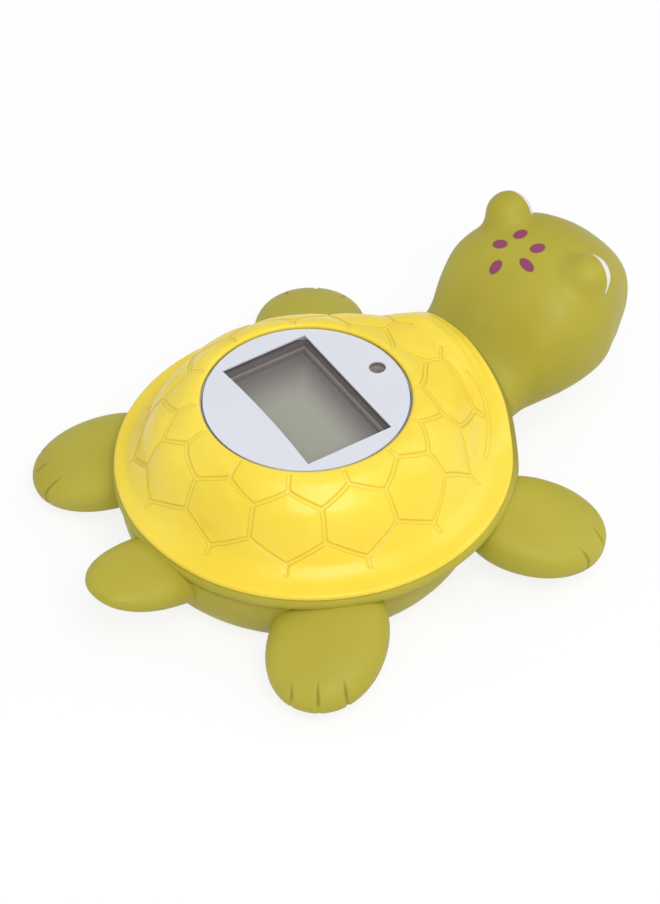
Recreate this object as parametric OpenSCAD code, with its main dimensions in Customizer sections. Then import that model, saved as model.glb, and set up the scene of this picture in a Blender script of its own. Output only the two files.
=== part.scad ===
// Floating thermometer for pool or bath, in the shape of a turtle.
// Millimetres, +Z up, head toward +Y, belly flat on z = 0.
// Everything is drawn about the upright axis of the round thermometer module,
// then moved by axis_back and axis_side so that the origin lies under the middle of the whole.

/* [Overall] */
// How far the axis of the module lies behind the middle of the length
axis_back = 14.43; // [13:0.01:16]
// How far the axis of the module lies left of the middle of the width
axis_side = 1.42; // [0:0.01:2]
// Height of the round face above the ground
face_z = 38; // [37.5:0.5:39]
// Height of the seam between shell and belly
rim_z = 18.5; // [18.2:0.1:18.8]

/* [Shell] */
// Radius of the shell's rim
rim_r = 44.1; // [43.6:0.1:44.6]
// How far the middle of the rim lies in front of the module's axis
rim_fore = 1.6; // [1.2:0.1:2]
// How far the front edge is raised over the neck
visor_lift = 14; // [12.5:0.1:14]
// How far the raised edge is drawn back from the rim's circle
visor_back = 2.6; // [2:0.1:3]
// How far the bead stands out past the shell beside the neck
bead_out = 0.9; // [0.5:0.1:1]

/* [Belly] */
// Radius of the flat underside
belly_flat_r = 31.5; // [30:0.5:32]
// Radius of the belly under the bead
belly_r = 40.8; // [40.4:0.1:41]
// How far the middle of the belly lies behind the module's axis
belly_aft = 1.5; // [1:0.1:1.8]
// Wall of the belly
belly_wall = 2; // [1.6:0.1:2.4]

/* [Head and limbs] */
// Wall of the hollow head
head_wall = 2; // [1.6:0.1:2.4]
// Radius of the eye balls
eye_r = 5.3; // [4.8:0.1:5.6]
// Length of a front flipper past the middle of its paddle
front_len = 16.1; // [15:0.1:17.5]
// Length of a rear flipper past the middle of its paddle
rear_len = 17; // [16:0.1:18]
// Length of the tail past its middle
tail_len = 17.5; // [16.5:0.1:18.5]

/* [Module] */
// Radius of the round face
face_r = 23; // [22.9:0.02:23]
// Radius of the barrel that reaches through the belly
barrel_r = 20.2; // [20:0.05:20.2]
// Angle of the module in its seat, as it stands in use
face_turn = -7.7; // [-20:0.1:20]
// Display window, long side
window_w = 35.4; // [32:0.2:35.6]
// Display window, short side
window_h = 21.5; // [18:0.1:21.6]
// How far the window's tail side bows inward
window_bow = 0.7; // [0.2:0.1:1.2]
// Radius of the light window
light_r = 1.9; // [1.6:0.1:2.1]
// Place of the light window, from the face's middle
light_y = 18.5; // [18.3:0.1:18.7]

/* [Battery] */
// Radius of the coin cell
cell_r = 10; // [9.8:0.05:10]
// Thickness of the coin cell
cell_h = 3.2; // [2.5:0.1:3.2]
// Place of the battery bay behind the module's axis
bay_back = 4; // [3.9:0.1:4.2]
// How far the cover turns to unlock
cover_turn = 45; // [40:1:50]

/* [Hidden] */
$fn = 96;

// Colours
yellow = "#f0d24a";
green = "#b3a845";
white = "#e3e5ec";
dark = "#4a4744";
steel = "#c9ccd0";
glue_gap = 0.03;

// Heights of the module's stack, from the face down
label_t = 0.4;
lens_t = 1.7;
label_z = face_z - label_t;
lens_z = label_z - lens_t;
frame_t = 2;
frame_z = lens_z - frame_t - 0.05;
lcd_t = 1.5;
lcd_z = frame_z - lcd_t - 0.05;
zebra_t = 1.7;
board_top = lcd_z - zebra_t - 0.08;
board_t = 1.55;
board_z = board_top - board_t;
boss_h = 1.6;
case_wall = 1.4;
case_floor = 1.3;
shoulder_z = board_z - boss_h - case_floor - 0.05;
gasket_t = 0.7;
ledge_z = shoulder_z - gasket_t - 0.1;

// Lower case
case_z = 2;
base_t = 1.6;
spigot_r = 18.9;
bore_r = 17.6;
seal_r = 0.36;

// Battery bay
bay_r = 11.5;
bay_wall = 2.1;
plug_r = bay_r - 0.08;
lug_r = bay_r + 0.7;
groove_r = bay_r + 0.85;
lug_z = case_z + 0.8;
lug_h = 1;
lug_arc = 24;
cover_h = 3.95;
cell_z = case_z + cover_h + 0.05;
roof_z = cell_z + cell_h + 1.8;
roof_t = 1.2;
oring_r = 0.4;
contact_t = 0.4;

// Sensor and contacts
probe_y = 14;
probe_r = 2.5;
stud_x = 11;
stud_y = 10.5;
stud_r = 1.6;
lead_r = 0.4;

// Belly
bead_r = 1.6;
bead_z = rim_z - bead_r;
crease_z = rim_z - 3.6;
flange_r = 35.2;
belly_hole_r = 22.45;
peg_r = 2.4;
peg_z = 10.8;
peg_inner = 34;

// Paddles of a pair of limbs: [reach of the middle from the rim's middle, height, droop]
front_pair = [50.6, 10.1, 7];
rear_pair = [47.6, 8.9, 14];
limb_half_w = 13;
limb_half_t = 6.2;
// Direction of each limb, and how far its paddle is turned from it
front_left = [140.8, -2.3];
front_right = [34.4, -1.4];
rear_left = [218.2, 13.8];
rear_right = [-36.4, -21.2];
tail_way = [-90, 0];

// Smooth step from 0 at a to 1 at b
function ease(a, b, x) =
    let (t = min(1, max(0, (x - a) / (b - a))))
    t * t * (3 - 2 * t);

// Smooth curve through rows of numbers, at place t counted in rows
function curve_at(rows, t) =
    let (
        n = len(rows) - 1,
        i = min(n - 1, max(0, floor(t))),
        f = t - i,
        b = rows[i],
        c = rows[i + 1],
        a = i > 0 ? rows[i - 1] : 2 * b - c,
        d = i + 2 <= n ? rows[i + 2] : 2 * c - b
    )
    b + 0.5 * f * ((c - a) + f * ((2 * a - 5 * b + 4 * c - d) + f * (3 * (b - c) + d - a)));

function flat(lists) = [for (list = lists) each list];

// Closed skin from a start point through rings to an end point; rings run left round, seen from the start
module closed_skin(first, rings, last) {
    count = len(rings[0]);
    total = len(rings);
    function at(i, j) = 1 + i * count + j % count;
    points = concat([first], flat(rings), [last]);
    start_cap = [for (j = [0 : count - 1]) [0, at(0, j + 1), at(0, j)]];
    end_cap = [for (j = [0 : count - 1]) [at(total - 1, j), at(total - 1, j + 1), 1 + total * count]];
    sides = [
        for (i = [0 : total - 2], j = [0 : count - 1])
            each [[at(i, j), at(i + 1, j + 1), at(i + 1, j)], [at(i, j), at(i, j + 1), at(i + 1, j + 1)]]
    ];
    polyhedron(points, concat(start_cap, sides, end_cap), convexity = 6);
}

// Closed ring-shaped skin: each section is a closed outline, the sections go once round
module closed_ring(sections) {
    count = len(sections[0]);
    total = len(sections);
    function at(i, j) = (i % total) * count + j % count;
    faces = [
        for (i = [0 : total - 1], j = [0 : count - 1])
            each [[at(i, j), at(i + 1, j), at(i + 1, j + 1)], [at(i, j), at(i + 1, j + 1), at(i, j + 1)]]
    ];
    polyhedron(flat(sections), faces, convexity = 6);
}

module on_body() {
    translate([-axis_side, -axis_back, 0]) children();
}

module on_module() {
    on_body() rotate([0, 0, face_turn]) children();
}

module on_bay() {
    on_module() translate([0, -bay_back, 0]) children();
}

module tube(r_in, r_out, z0, z1) {
    rotate_extrude() translate([r_in, z0]) square([r_out - r_in, z1 - z0]);
}

module disc(r, z0, z1) {
    translate([0, 0, z0]) cylinder(r = r, h = z1 - z0);
}

module block(x0, x1, y0, y1, z0, z1) {
    translate([x0, y0, z0]) cube([x1 - x0, y1 - y0, z1 - z0]);
}

// Shell: radius and depth below the face, from the opening out to the rim and back inside
shell_outer = [
    [face_r + 0.35, -0.25], [face_r + 1, -0.5], [face_r + 2.4, -0.15], [28, 1.3], [31.7, 4.6], [34, 8.8],
    [36.4, 14.3], [38.3, 16.6], [40.6, 18], [rim_r - 0.5, 18.7], [rim_r, 19.4], [rim_r - 0.1, 19.97]
];
shell_inner = [
    [39, 19.97], [36.6, 18], [34.6, 15], [32.6, 10.4], [30, 6.2], [27.6, 3.6], [26.2, 2.8]
];
seat_outer_r = 24.6;
seat_top = 1.15;
collar_depth = 13;
shell_collar = [
    [26.2, collar_depth], [seat_outer_r + 0.06, collar_depth], [seat_outer_r + 0.06, seat_top],
    [face_r + 0.35, seat_top]
];
shell_steps = 22;
shell_profile = concat(
    [for (i = [0 : shell_steps]) curve_at(shell_outer, i * (len(shell_outer) - 1) / shell_steps)],
    shell_inner,
    shell_collar
);

// How much of the visor's lift acts in direction a at radius r: broad near the face, narrower at the rim
visor_top = 5.5;
visor_foot = 40;
visor_spread = 17;

function visor(r, a) =
    let (foot = visor_foot + visor_spread * (1 - ease(32, rim_r, r)))
    (1 - ease(visor_top, foot, abs(a - 90))) * ease(28.5, 39, r);

// How far beside the neck a direction lies: 1 over the front third, 0 past the middle
function beside_neck(a) = 1 - ease(40, 85, abs(a - 90));

// How far the rim leaves its circle in direction a: drawn back over the neck, a little fuller beside it
function rim_shift(a) = 0.2 * beside_neck(a) - visor_back * (1 - ease(6.5, 27.5, abs(a - 90)));

// A profile point of the shell carried to the direction a, with the front raised as a visor
function shell_point(p, a) =
    let (
        out = ease(face_r, rim_r, p[0]),
        r = p[0] + rim_shift(a) * ease(34, rim_r, p[0]),
        z = face_z - p[1] * (face_z - rim_z) / 20 + visor_lift * visor(p[0], a)
    )
    [r * cos(a), r * sin(a) + rim_fore * out, z];

angle_step = 3.75;
directions = [-90 : angle_step : 270 - angle_step];

module carapace() {
    color(yellow) on_body() closed_ring([for (a = directions) [for (p = shell_profile) shell_point(p, a)]]);
}

// Belly: outline of the bowl from its flat underside to its upright top
bowl_outside = concat(
    [for (t = [0 : 9 : 90]) [belly_flat_r + (belly_r - belly_flat_r) * sin(t), crease_z * (1 - cos(t))]],
    [[belly_r, rim_z]]
);
bowl_inside = concat(
    [[belly_r - belly_wall, rim_z]],
    [
        for (t = [90 : -10 : 0])
            [
                belly_flat_r + (belly_r - belly_wall - belly_flat_r) * sin(t),
                belly_wall + (crease_z - belly_wall) * (1 - cos(t))
            ]
    ]
);
// Flange that carries the shell, with a round bead along its outer edge
bead_ring_r = rim_r - bead_r + 0.4;
flange_outline = concat(
    [for (t = [90 : -18 : -90]) [bead_ring_r + bead_r * cos(t), bead_z + bead_r * sin(t)]],
    [[flange_r, rim_z - 1.8], [flange_r, rim_z]]
);
// How far the flange's inner edge keeps clear of the shell over the neck
flange_clear = 2.4;

// A point of the flange carried to the direction a: it follows the shell's rim over the neck
function flange_point(p, a) =
    let (
        out = ease(flange_r, rim_r, p[0]),
        r = p[0] + (rim_shift(a) + bead_out * beside_neck(a)) * out
            + flange_clear * (1 - out) * (1 - ease(20, visor_foot, abs(a - 90)))
    )
    [r * cos(a), r * sin(a) + rim_fore, p[1] + visor_lift * visor(rim_r, a)];

// Solid that fills the bowl, used to trim what is bonded to its outside
module bowl_filled(gap) {
    wider = [for (p = bowl_outside) p + [gap, 2 * gap]];
    translate([0, -belly_aft, -gap])
        rotate_extrude() polygon(concat([[0, 0]], wider, [[0, rim_z + 2 * gap]]));
}

// The same with its flange and bead, which may stand further out beside the neck
module belly_filled(gap, out) {
    bowl_filled(gap);
    translate([0, rim_fore, 0])
        tube(flange_r - gap, bead_ring_r + out, rim_z - 2 * bead_r - gap, rim_z + gap);
    translate([0, rim_fore, bead_z])
        rotate_extrude() translate([bead_ring_r + out, 0]) circle(r = bead_r + gap, $fn = 48);
}

// Peg of a limb, running out level from inside the belly
module peg(azimuth, r, inner, outer) {
    translate([0, rim_fore, peg_z]) rotate([0, 0, azimuth]) rotate([0, 90, 0])
        translate([0, 0, inner]) cylinder(r = r, h = outer - inner, $fn = 48);
}

module belly_tub() {
    color(green) on_body() difference() {
        union() {
            translate([0, -belly_aft, 0])
                rotate_extrude() polygon(concat([[0, 0]], bowl_outside, bowl_inside, [[0, belly_wall]]));
            closed_ring([for (a = directions) [for (p = flange_outline) flange_point(p, a)]]);
        }
        disc(belly_hole_r, -1, belly_wall + 1);
        for (way = [front_left, front_right, rear_left, rear_right, tail_way])
            peg(way[0], peg_r + 0.04, 30, 50);
    }
}

// Head: place along the length, half width, top and bottom of each cross section
head_rows = [
    [34.5, 15.2, 29, 10.2], [39.5, 16.6, 29, 9.8], [45, 17.2, 28.6, 9.3], [48, 16.8, 29.8, 9],
    [51, 17.1, 33, 8.9], [55, 18.8, 38.5, 8.9], [60, 20.5, 42.6, 8.9], [66, 21, 43.8, 9.2],
    [72, 19.9, 44.2, 9.3], [77, 17.2, 43.1, 10.2], [81, 14.6, 40.6, 12.4], [85.2, 11.6, 36.7, 16],
    [87.7, 7.9, 32.9, 19.9], [88.8, 3.9, 29.6, 23.3], [89.1, 0, 26.4, 26.4]
];
head_widest = 0.55;
eye_place = [14, 71.5, 40.8];
head_sides = 56;

// Fullness of the cross section's upper half: the neck is slimmer, to pass under the shell
function fullness_above(y) = 1.75 + 0.75 * ease(44, 56, y);
fullness_below = 2.4;

// Point of a cross section at angle a, as an oval that is widest above its middle
function head_point(row, a) =
    let (
        c = cos(a),
        s = sin(a),
        power = 2 / (s > 0 ? fullness_above(row[0]) : fullness_below),
        x = row[1] * sign(c) * pow(abs(c), power),
        mid = row[3] + head_widest * (row[2] - row[3]),
        z = s > 0 ? mid + (row[2] - mid) * pow(s, power) : mid - (mid - row[3]) * pow(-s, power)
    )
    [x, row[0], z];

module head() {
    last = len(head_rows) - 1;
    outer = [
        for (i = [30 : -1 : 0])
            let (row = curve_at(head_rows, i * (last - 0.3) / 30))
            [for (j = [0 : head_sides - 1]) head_point(row, -j * 360 / head_sides)]
    ];
    inner = [
        for (i = [0 : 12])
            let (
                row = curve_at(head_rows, i * (last - 3) / 12),
                w = head_wall,
                thin = [i == 0 ? row[0] : row[0] - w * i / 12, row[1] - w, row[2] - w, row[3] + w]
            )
            [for (j = [0 : head_sides - 1]) head_point(thin, -j * 360 / head_sides)]
    ];
    snout = head_rows[last];
    color(green) on_body() difference() {
        union() {
            closed_skin(
                [0, snout[0], snout[2]], concat(outer, inner), [0, snout[0] - head_wall - 1, snout[2]]
            );
            for (side = [-1, 1])
                translate([side * eye_place[0], eye_place[1], eye_place[2]]) sphere(r = eye_r);
        }
        bowl_filled(glue_gap);
    }
}

// Paddle: outline of half length and half width, swollen to a half thickness, thinner toward its tip
function paddle_reach(a, half_l, half_w, power) =
    1 / pow(pow(abs(cos(a)) / half_l, power) + pow(abs(sin(a)) / half_w, power), 1 / power);

function crease_at(a, middle) = 0.045 * exp(-pow((a - middle) / 5, 2));

function toe_crease(a) = crease_at(a, -27) + crease_at(a, 0) + crease_at(a, 27);

module paddle(half_l, half_w, half_t, power, taper, toes) {
    function side(v) = sign(v) * pow(abs(v), 0.8);
    rings = [
        for (rise = [75 : -15 : -75])
            [
                for (a = [-180 : 5 : 175])
                    let (
                        r = paddle_reach(a, half_l, half_w, power) * (1 - (toes ? toe_crease(a) : 0)),
                        x = r * cos(a) * side(cos(rise)),
                        y = r * sin(a) * side(cos(rise)),
                        t = half_t * (1 - taper * x / half_l)
                    )
                    [x, y, t * side(sin(rise))]
            ]
    ];
    closed_skin([0, 0, half_t], rings, [0, 0, -half_t]);
}

// Paddle set in its direction, drooping outward and turned from that direction
module on_limb(way, pair) {
    translate([0, rim_fore, 0]) rotate([0, 0, way[0]]) translate([pair[0], 0, pair[1]])
        rotate([0, 0, way[1]]) rotate([0, pair[2], 0]) children();
}

// Flipper bonded to the belly, with a peg through its wall
module flipper(way, pair, len, out) {
    color(green) on_body() union() {
        difference() {
            on_limb(way, pair) paddle(len, limb_half_w, limb_half_t, 2.1, 0.18, true);
            belly_filled(glue_gap, out);
        }
        peg(way[0], peg_r, peg_inner, pair[0] - 3);
    }
}

module front_left_flipper() {
    flipper(front_left, front_pair, front_len, bead_out + 0.2);
}

module front_right_flipper() {
    flipper(front_right, front_pair, front_len, bead_out + 0.2);
}

module rear_left_flipper() {
    flipper(rear_left, rear_pair, rear_len, 0);
}

module rear_right_flipper() {
    flipper(rear_right, rear_pair, rear_len, 0);
}

tail_pair = [44.9, 12.7, -14.6];

module tail() {
    color(green) on_body() union() {
        difference() {
            on_limb(tail_way, tail_pair) paddle(tail_len, 10.4, 5, 2.3, 0.3, false);
            belly_filled(glue_gap, 0);
        }
        peg(tail_way[0], peg_r, peg_inner, tail_pair[0] + 3);
    }
}

// Ring bonded in the shell's opening: bore for the face, ledge for the shoulder
module seat_ring() {
    color(white) on_body() {
        tube(face_r + 0.08, seat_outer_r, ledge_z - 1.6, face_z - seat_top - glue_gap);
        tube(barrel_r + 0.4, face_r + 0.5, ledge_z - 1.6, ledge_z);
    }
}

module belly_seal() {
    color(dark) on_body() {
        tube(barrel_r + 0.08, belly_hole_r - glue_gap, 0.4, belly_wall + 1.2);
        tube(barrel_r + 1, belly_hole_r + 2, belly_wall + glue_gap, belly_wall + 1.2);
    }
}

module module_gasket() {
    color(dark) on_body() tube(barrel_r + 0.55, face_r - 0.05, ledge_z + 0.05, ledge_z + 0.05 + gasket_t);
}

screw_angles = [50, 130, 270];
screw_ring_r = 20.05;

module at_screws() {
    for (a = screw_angles) rotate([0, 0, a]) translate([screw_ring_r, 0, 0]) children();
}

// Upper case: shoulder and wall round the display, with bosses for the board
module case_upper() {
    color(white) on_module() difference() {
        union() {
            tube(spigot_r + 0.05, face_r, shoulder_z, shoulder_z + case_floor);
            tube(face_r - case_wall, face_r, shoulder_z, lens_z - glue_gap);
            at_screws() disc(1.5, shoulder_z + case_floor - 0.4, board_z - glue_gap);
        }
        at_screws() disc(0.78, shoulder_z + 0.5, board_z + 1);
        disc(spigot_r + 0.05, shoulder_z - 1, shoulder_z + case_floor);
    }
}

// Lower case: barrel through the belly, closed below, with the battery bay and the holes of the sensors
module case_lower() {
    spigot_top = shoulder_z + case_floor - 0.05;
    color(white) on_module() difference() {
        union() {
            rotate_extrude() polygon([
                [0, case_z], [barrel_r - 0.8, case_z], [barrel_r, case_z + 0.8],
                [barrel_r, shoulder_z - glue_gap], [spigot_r, shoulder_z - glue_gap], [spigot_r, spigot_top],
                [bore_r, spigot_top], [bore_r, shoulder_z - 2.5], [bore_r + 0.8, shoulder_z - 3.3],
                [bore_r + 0.8, case_z + base_t], [0, case_z + base_t]
            ]);
            translate([0, -bay_back, 0]) disc(bay_r + bay_wall, case_z, roof_z + roof_t);
        }
        tube(spigot_r - 2 * seal_r - 0.04, spigot_r + 1, shoulder_z + 0.25, shoulder_z + 0.35 + 2 * seal_r);
        translate([0, -bay_back, 0]) {
            disc(bay_r, case_z - 1, roof_z);
            disc(groove_r, lug_z - 0.15, lug_z + lug_h + 0.15);
            for (a = [0 : 120 : 240]) rotate([0, 0, a - cover_turn])
                block(bay_r - 1, groove_r, -3, 3, case_z - 1, lug_z + 0.2);
            for (x = lead_places) translate([x, 0, 0]) disc(lead_r + 0.2, roof_z - 1, roof_z + roof_t + 1);
        }
        translate([0, probe_y, 0]) disc(probe_r + 0.04, case_z - 1, case_z + base_t + 1);
        for (x = [-stud_x, stud_x]) translate([x, stud_y, 0])
            disc(stud_r + 0.04, case_z - 1, case_z + base_t + 1);
    }
}

module case_seal() {
    color(dark) on_module() rotate_extrude()
        translate([spigot_r - seal_r - 0.01, shoulder_z + 0.3 + seal_r]) circle(r = seal_r, $fn = 32);
}

module face_lens() {
    chamfer = 0.3;
    color([0.85, 0.9, 0.92, 0.35]) on_module() rotate_extrude() polygon([
        [0, lens_z], [face_r, lens_z], [face_r, label_z - chamfer], [face_r - chamfer, label_z],
        [0, label_z]
    ]);
}

// Display window with its tail side bowed toward the middle
module window_outline(w, h, bow) {
    bow_r = (w * w / 4 + bow * bow) / (2 * bow);
    difference() {
        square([w, h], center = true);
        translate([0, -h / 2 - bow_r + bow]) circle(r = bow_r, $fn = 360);
    }
}

module face_label() {
    color(white) on_module() difference() {
        disc(face_r - 0.3, label_z + 0.01, face_z);
        translate([0, 0, label_z - 1]) linear_extrude(height = label_t + 2)
            window_outline(window_w, window_h, window_bow);
        translate([0, light_y, 0]) disc(light_r, label_z - 1, face_z + 1);
    }
}

// Dark frame that makes the stepped walls round the display
module display_frame() {
    step = 1;
    lip_t = 0.85;
    leg_x = 18.3;
    color(dark) on_module() {
        difference() {
            disc(face_r - case_wall - 0.1, frame_z, lens_z - glue_gap);
            translate([0, 0, frame_z + lip_t]) linear_extrude(height = frame_t)
                window_outline(window_w, window_h, window_bow);
            translate([0, 0, frame_z - 1]) linear_extrude(height = frame_t)
                square([window_w - 2 * step, window_h - 2 * step], center = true);
            translate([0, light_y, 0]) disc(light_r + 0.2, frame_z - 1, lens_z + 1);
        }
        for (side = [0, 180]) rotate([0, 0, side])
            block(leg_x, leg_x + 1.7, -6, 6, board_top + glue_gap, frame_z + 0.2);
    }
}

lcd_w = 36;
lcd_h = 22.4;

module lcd_panel() {
    ledge = 1;
    color("#a1a196") on_module() {
        translate([0, 0, lcd_z]) linear_extrude(height = lcd_t / 2) square([lcd_w, lcd_h], center = true);
        translate([0, 0, lcd_z + lcd_t / 2]) linear_extrude(height = lcd_t / 2)
            square([lcd_w, lcd_h - 2 * ledge], center = true);
    }
}

module lcd_backing() {
    color("#8f9088") on_module() block(-16, 16, -8.6, 8.6, board_top + glue_gap, lcd_z - glue_gap);
}

module zebra_strips() {
    color("#d98a9a") on_module() for (y = [-9.9, 9.9])
        block(-15.5, 15.5, y - 0.8, y + 0.8, board_top + glue_gap, lcd_z - glue_gap);
}

module circuit_board() {
    color("#2f6b3c") on_module() difference() {
        disc(face_r - case_wall - 0.4, board_z, board_top);
        at_screws() disc(0.9, board_z - 1, board_top + 1);
    }
}

module board_screws() {
    color(steel) on_module() at_screws() difference() {
        union() {
            disc(0.74, shoulder_z + 0.6, board_top + 0.2);
            disc(1.45, board_top + 0.02, board_top + 0.85);
        }
        for (turn = [0, 90]) rotate([0, 0, turn])
            block(-0.9, 0.9, -0.15, 0.15, board_top + 0.45, board_top + 1);
    }
}

// Drop of black resin over the chip, under the board
module controller_blob() {
    drop_r = 7;
    drop_h = 1.3;
    color("#1c1c1e") on_module() translate([0, 2, board_z - glue_gap]) intersection() {
        translate([0, 0, drop_r - drop_h]) sphere(r = drop_r);
        disc(drop_r, -drop_h - 1, 0);
    }
}

module timing_crystal() {
    color(steel) on_module() translate([-9, 0, board_z - 1.05]) rotate([-90, 0, 0]) cylinder(r = 1, h = 6);
}

module alarm_led() {
    led_r = 1.5;
    dome_z = frame_z + 0.2;
    color("#d8d2c8") on_module() translate([0, light_y, 0]) {
        disc(led_r + 0.3, board_top + 0.02, board_top + 0.8);
        disc(led_r, board_top + 0.02, dome_z);
        translate([0, 0, dome_z]) sphere(r = led_r);
    }
}

module coin_cell() {
    color(steel) on_bay() rotate_extrude() polygon([
        [0, cell_z], [cell_r - 0.4, cell_z], [cell_r, cell_z + 0.4], [cell_r, cell_z + cell_h - 0.5],
        [cell_r - 0.3, cell_z + cell_h - 0.3], [cell_r - 1.4, cell_z + cell_h - 0.3],
        [cell_r - 1.4, cell_z + cell_h], [0, cell_z + cell_h]
    ]);
}

// Place of the two battery leads, behind each other along the bay's cross line
lead_places = [-3, 8];

module contact_negative() {
    color(steel) on_bay() {
        disc(5, roof_z - contact_t - 0.05, roof_z - 0.05);
        translate([0, 0, cell_z + cell_h + 0.05])
            cylinder(r1 = 1.4, r2 = 3.2, h = roof_z - contact_t - cell_z - cell_h - 0.05);
    }
}

module contact_positive() {
    spring_x = cell_r + 0.1;
    color(steel) on_bay() {
        block(spring_x, spring_x + contact_t, -2, 2, cell_z + 0.6, roof_z - 0.05);
        block(lead_places[1] - 1.5, spring_x + contact_t, -2, 2, roof_z - 0.05 - contact_t, roof_z - 0.05);
    }
}

module battery_leads() {
    color("#b03030") on_bay() for (x = lead_places) translate([x, 0, 0])
        disc(lead_r, roof_z - 0.02, board_z - glue_gap);
}

// Cover with a coin slot, three bayonet lugs and a groove for its sealing ring
module battery_cover() {
    ring_z = case_z + 3;
    color(white) on_bay() difference() {
        union() {
            disc(plug_r, case_z, case_z + cover_h);
            intersection() {
                tube(plug_r - 1, lug_r, lug_z, lug_z + lug_h);
                for (a = [0 : 120 : 240]) rotate([0, 0, a]) linear_extrude(height = 2 * lug_z)
                    polygon([[0, 0], [20, -20 * tan(lug_arc / 2)], [20, 20 * tan(lug_arc / 2)]]);
            }
        }
        tube(plug_r - 2 * oring_r + 0.05, plug_r + 1, ring_z - oring_r - 0.05, ring_z + oring_r + 0.05);
        block(-7, 7, -1.1, 1.1, case_z - 1, case_z + 1.3);
    }
}

module cover_oring() {
    color(dark) on_bay() rotate_extrude()
        translate([bay_r - oring_r - 0.03, case_z + 3]) circle(r = oring_r, $fn = 32);
}

// Steel thimble that carries the water's heat to the sensor
module probe_cap() {
    tip_z = 0.7;
    color(steel) on_module() translate([0, probe_y, 0]) rotate_extrude() polygon([
        [0, tip_z], [probe_r - 0.8, tip_z], [probe_r, tip_z + 0.8], [probe_r, case_z + base_t + glue_gap],
        [probe_r + 0.7, case_z + base_t + glue_gap], [probe_r + 0.7, case_z + base_t + 0.8],
        [probe_r - 0.5, case_z + base_t + 0.8], [probe_r - 0.5, tip_z + 0.6], [0, tip_z + 0.6]
    ]);
}

bead_sensor_r = 1.3;
bead_sensor_z = 2.8;

module thermistor() {
    color("#20242c") on_module() translate([0, probe_y, bead_sensor_z]) sphere(r = bead_sensor_r, $fn = 48);
}

module probe_leads() {
    color("#20242c") on_module() for (x = [-0.7, 0.7]) translate([x, probe_y, 0])
        disc(lead_r - 0.05, bead_sensor_z + bead_sensor_r + 0.02, board_z - glue_gap);
}

module water_contacts() {
    head_r = stud_r + 0.8;
    inside_z = case_z + base_t + glue_gap;
    color(steel) on_module() for (x = [-stud_x, stud_x]) translate([x, stud_y, 0]) rotate_extrude() polygon([
        [0, case_z - 0.8], [head_r - 0.4, case_z - 0.8], [head_r, case_z - 0.4],
        [head_r, case_z - glue_gap], [stud_r, case_z - glue_gap], [stud_r, inside_z], [head_r, inside_z],
        [head_r, inside_z + 0.6], [stud_r - 0.4, inside_z + 1.4], [0, inside_z + 1.4]
    ]);
}

module contact_leads() {
    color("#3a3f9a") on_module() for (x = [-stud_x, stud_x])
        translate([x, stud_y, 0]) disc(lead_r, case_z + base_t + 1.45, board_z - glue_gap);
}

carapace();
belly_tub();
head();
front_left_flipper();
front_right_flipper();
rear_left_flipper();
rear_right_flipper();
tail();
seat_ring();
belly_seal();
module_gasket();
case_upper();
case_lower();
case_seal();
face_lens();
face_label();
display_frame();
lcd_panel();
lcd_backing();
zebra_strips();
circuit_board();
board_screws();
controller_blob();
timing_crystal();
alarm_led();
coin_cell();
contact_negative();
contact_positive();
battery_leads();
battery_cover();
cover_oring();
probe_cap();
thermistor();
probe_leads();
water_contacts();
contact_leads();
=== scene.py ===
import bisect
import math

import bmesh
import bpy
from mathutils import Matrix, Vector


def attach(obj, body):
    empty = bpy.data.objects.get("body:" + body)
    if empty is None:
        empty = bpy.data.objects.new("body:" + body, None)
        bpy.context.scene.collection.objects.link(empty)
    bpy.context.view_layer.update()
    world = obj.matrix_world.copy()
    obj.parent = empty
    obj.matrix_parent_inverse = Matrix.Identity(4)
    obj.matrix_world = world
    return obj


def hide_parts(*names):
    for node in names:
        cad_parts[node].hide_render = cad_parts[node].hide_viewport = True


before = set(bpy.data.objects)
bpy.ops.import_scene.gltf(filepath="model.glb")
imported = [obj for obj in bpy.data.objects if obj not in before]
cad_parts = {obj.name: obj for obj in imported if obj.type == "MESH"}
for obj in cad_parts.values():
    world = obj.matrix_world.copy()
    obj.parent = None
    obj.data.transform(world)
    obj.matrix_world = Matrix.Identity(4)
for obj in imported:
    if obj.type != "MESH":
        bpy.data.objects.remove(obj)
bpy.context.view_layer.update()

# Belly: a bowl of soft green vinyl, cast in one piece with the round bead that carries the shell.
# The bead follows the shell's rim and rises with it over the neck; the wall of the bowl ends inside it.
# Everything is drawn in millimetres and degrees about the upright axis of the thermometer module.
axis_back = 14.43
axis_side = 1.42
seam_height = 18.5
rim_radius = 44.1
rim_fore = 1.6
neck_way = 90
neck_sides = (40, 85)
neck_fullness = 0.2
visor_lift = 14.0
visor_start = 32
visor_top = 5.5
visor_foot = 40
visor_spread = 17
visor_back = 2.6
visor_back_sides = (6.5, 27.5)
bowl_flat = 31.5
bowl_side = 40.8
bowl_wall = 2.0
bowl_aft = 1.5
bowl_hole = 22.45
bowl_hole_bevel = 0.3
bowl_lap = 0.9
floor_edge = bowl_flat - 4
floor_start = bowl_hole + 1
crease_height = 14.9
wall_start = crease_height + 0.5
bead_radius = 1.6
bead_ring = rim_radius - bead_radius + 0.4
bead_middle = seam_height - bead_radius
bead_out = 0.9
belly_steps = 256
neck_shadow = 0.6
neck_shadow_sides = (30, 60)
neck_shadow_heights = (12, 16)


def ease(low, high, x):
    """Smooth step from 0 at low to 1 at high."""
    t = min(1.0, max(0.0, (x - low) / (high - low)))
    return t * t * (3 - 2 * t)


def off_neck(angle):
    """Degrees between a direction and the neck's."""
    return abs(angle - neck_way)


def visor(radius, angle):
    """How much of the visor's lift a place takes, by its direction; the lift starts wider up the dome."""
    foot = visor_foot + visor_spread * (1 - ease(visor_start, rim_radius, radius))
    return 1 - ease(visor_top, foot, off_neck(angle))


def beside_neck(angle):
    return 1 - ease(*neck_sides, off_neck(angle))


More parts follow.
